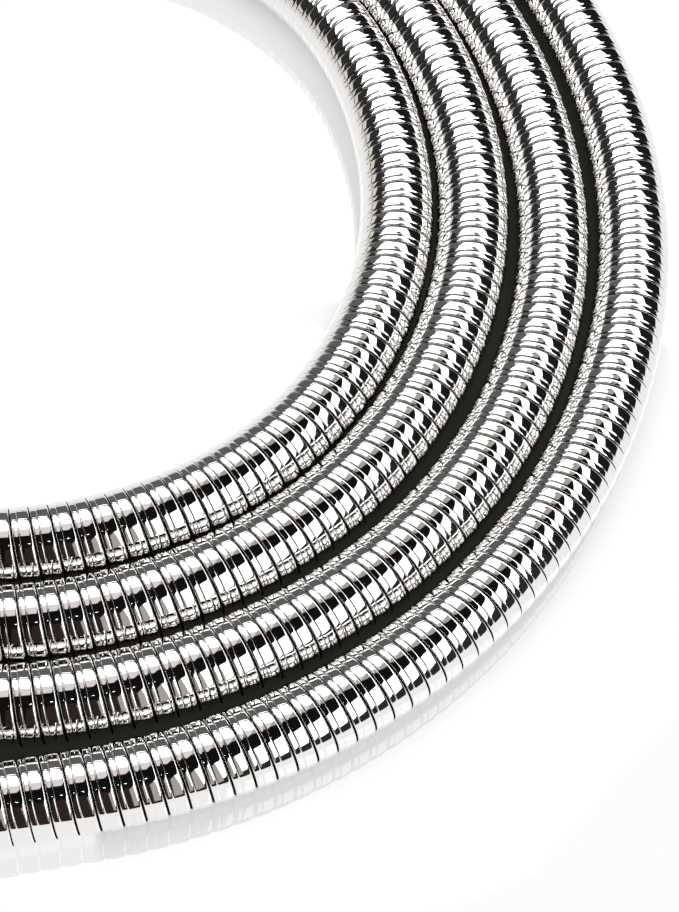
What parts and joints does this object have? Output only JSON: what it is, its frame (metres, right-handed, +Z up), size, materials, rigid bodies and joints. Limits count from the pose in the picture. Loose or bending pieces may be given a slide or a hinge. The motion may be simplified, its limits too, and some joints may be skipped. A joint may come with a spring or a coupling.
{
  "type": "handheld bath sprayer",
  "caption": "Chrome handheld bath sprayer with squeeze trigger, round spray head and strip-wound metal hose lying in a flat coil, with a threaded tap end.",
  "frame": {"origin": "on the floor under the middle of the handset's box", "axes": "+X along the handset from its spray head to its inlet, +Z up, away from the floor; the hose coil lies towards +Y"},
  "size_m": [0.4469, 0.2889, 0.0504],
  "materials": {
    "chrome": "polished chrome plate on cast brass",
    "hose_chrome": "polished chrome double-lock steel strip",
    "brass": "turned brass",
    "steel": "stainless steel",
    "rubber": "black nitrile rubber",
    "silicone": "grey silicone",
    "plastic": "white acetal"
  },
  "bodies": {
    "hose": {"hose_coil": "hose_chrome", "hose_lead": "hose_chrome", "hose_tail": "hose_chrome", "hose_ferrule": "chrome", "swivel_insert": "brass", "swivel_washer": "rubber", "tap_ferrule": "chrome", "tap_insert": "brass", "tap_washer": "rubber"},
    "handset": {"handle_body": "chrome", "head_shell": "chrome", "neck_o_ring": "rubber", "face_seal": "rubber", "nozzle_mat": "silicone", "face_plate": "chrome", "centre_screw": "steel", "screw_cap": "chrome", "trigger_pin": "steel", "valve_spring": "steel", "valve_seat": "brass", "valve_gland": "brass", "stem_o_ring": "rubber", "flow_bonnet": "chrome", "inlet_nipple": "chrome", "inlet_filter": "steel", "flow_restrictor": "plastic", "cone_nut": "chrome"},
    "lever": {"trigger": "chrome"},
    "stem": {"valve_stem": "brass", "seal_washer": "rubber"},
    "mode_ring": {"face_ring": "chrome", "mode_disc": "plastic"},
    "flow_control": {"flow_spindle": "brass", "flow_o_ring": "rubber", "flow_knob": "chrome"},
    "tap_coupling": {"tap_nut": "chrome"}
  },
  "joints": [
    {"name": "handset_swivel", "type": "hinge", "parent": "hose", "child": "handset", "pos_m": [0.1, 0, 0.0146], "axis": [1, 0, 0], "continuous": true},
    {"name": "trigger", "type": "hinge", "parent": "handset", "child": "lever", "pos_m": [-0.0464, 0, 0.0316], "axis": [0, 1, 0], "range_deg": [0, 6], "stiffness_Nm_per_rad": 3, "springref_deg": -8.59},
    {"name": "valve_stem", "type": "slide", "parent": "handset", "child": "stem", "axis": [0, 0, -1], "range_m": [0, 0.00253], "deforming": ["valve_spring"]},
    {"name": "mode_ring", "type": "hinge", "parent": "handset", "child": "mode_ring", "pos_m": [-0.0904, 0, 0.0286], "axis": [-0.5, 0, 0.866], "range_deg": [0, 60]},
    {"name": "flow_knob", "type": "hinge", "parent": "handset", "child": "flow_control", "pos_m": [0.0576, 0, 0.0146], "axis": [0, 0, 1], "range_deg": [0, 90]},
    {"name": "tap_nut_spin", "type": "hinge", "parent": "hose", "child": "tap_coupling", "pos_m": [0.1522, 0.11, 0.012], "axis": [0, -1, 0], "continuous": true}
  ],
  "couplings": [
    {"joint": "valve_stem", "follows": "trigger", "m_per_rad": 0.0241}
  ]
}
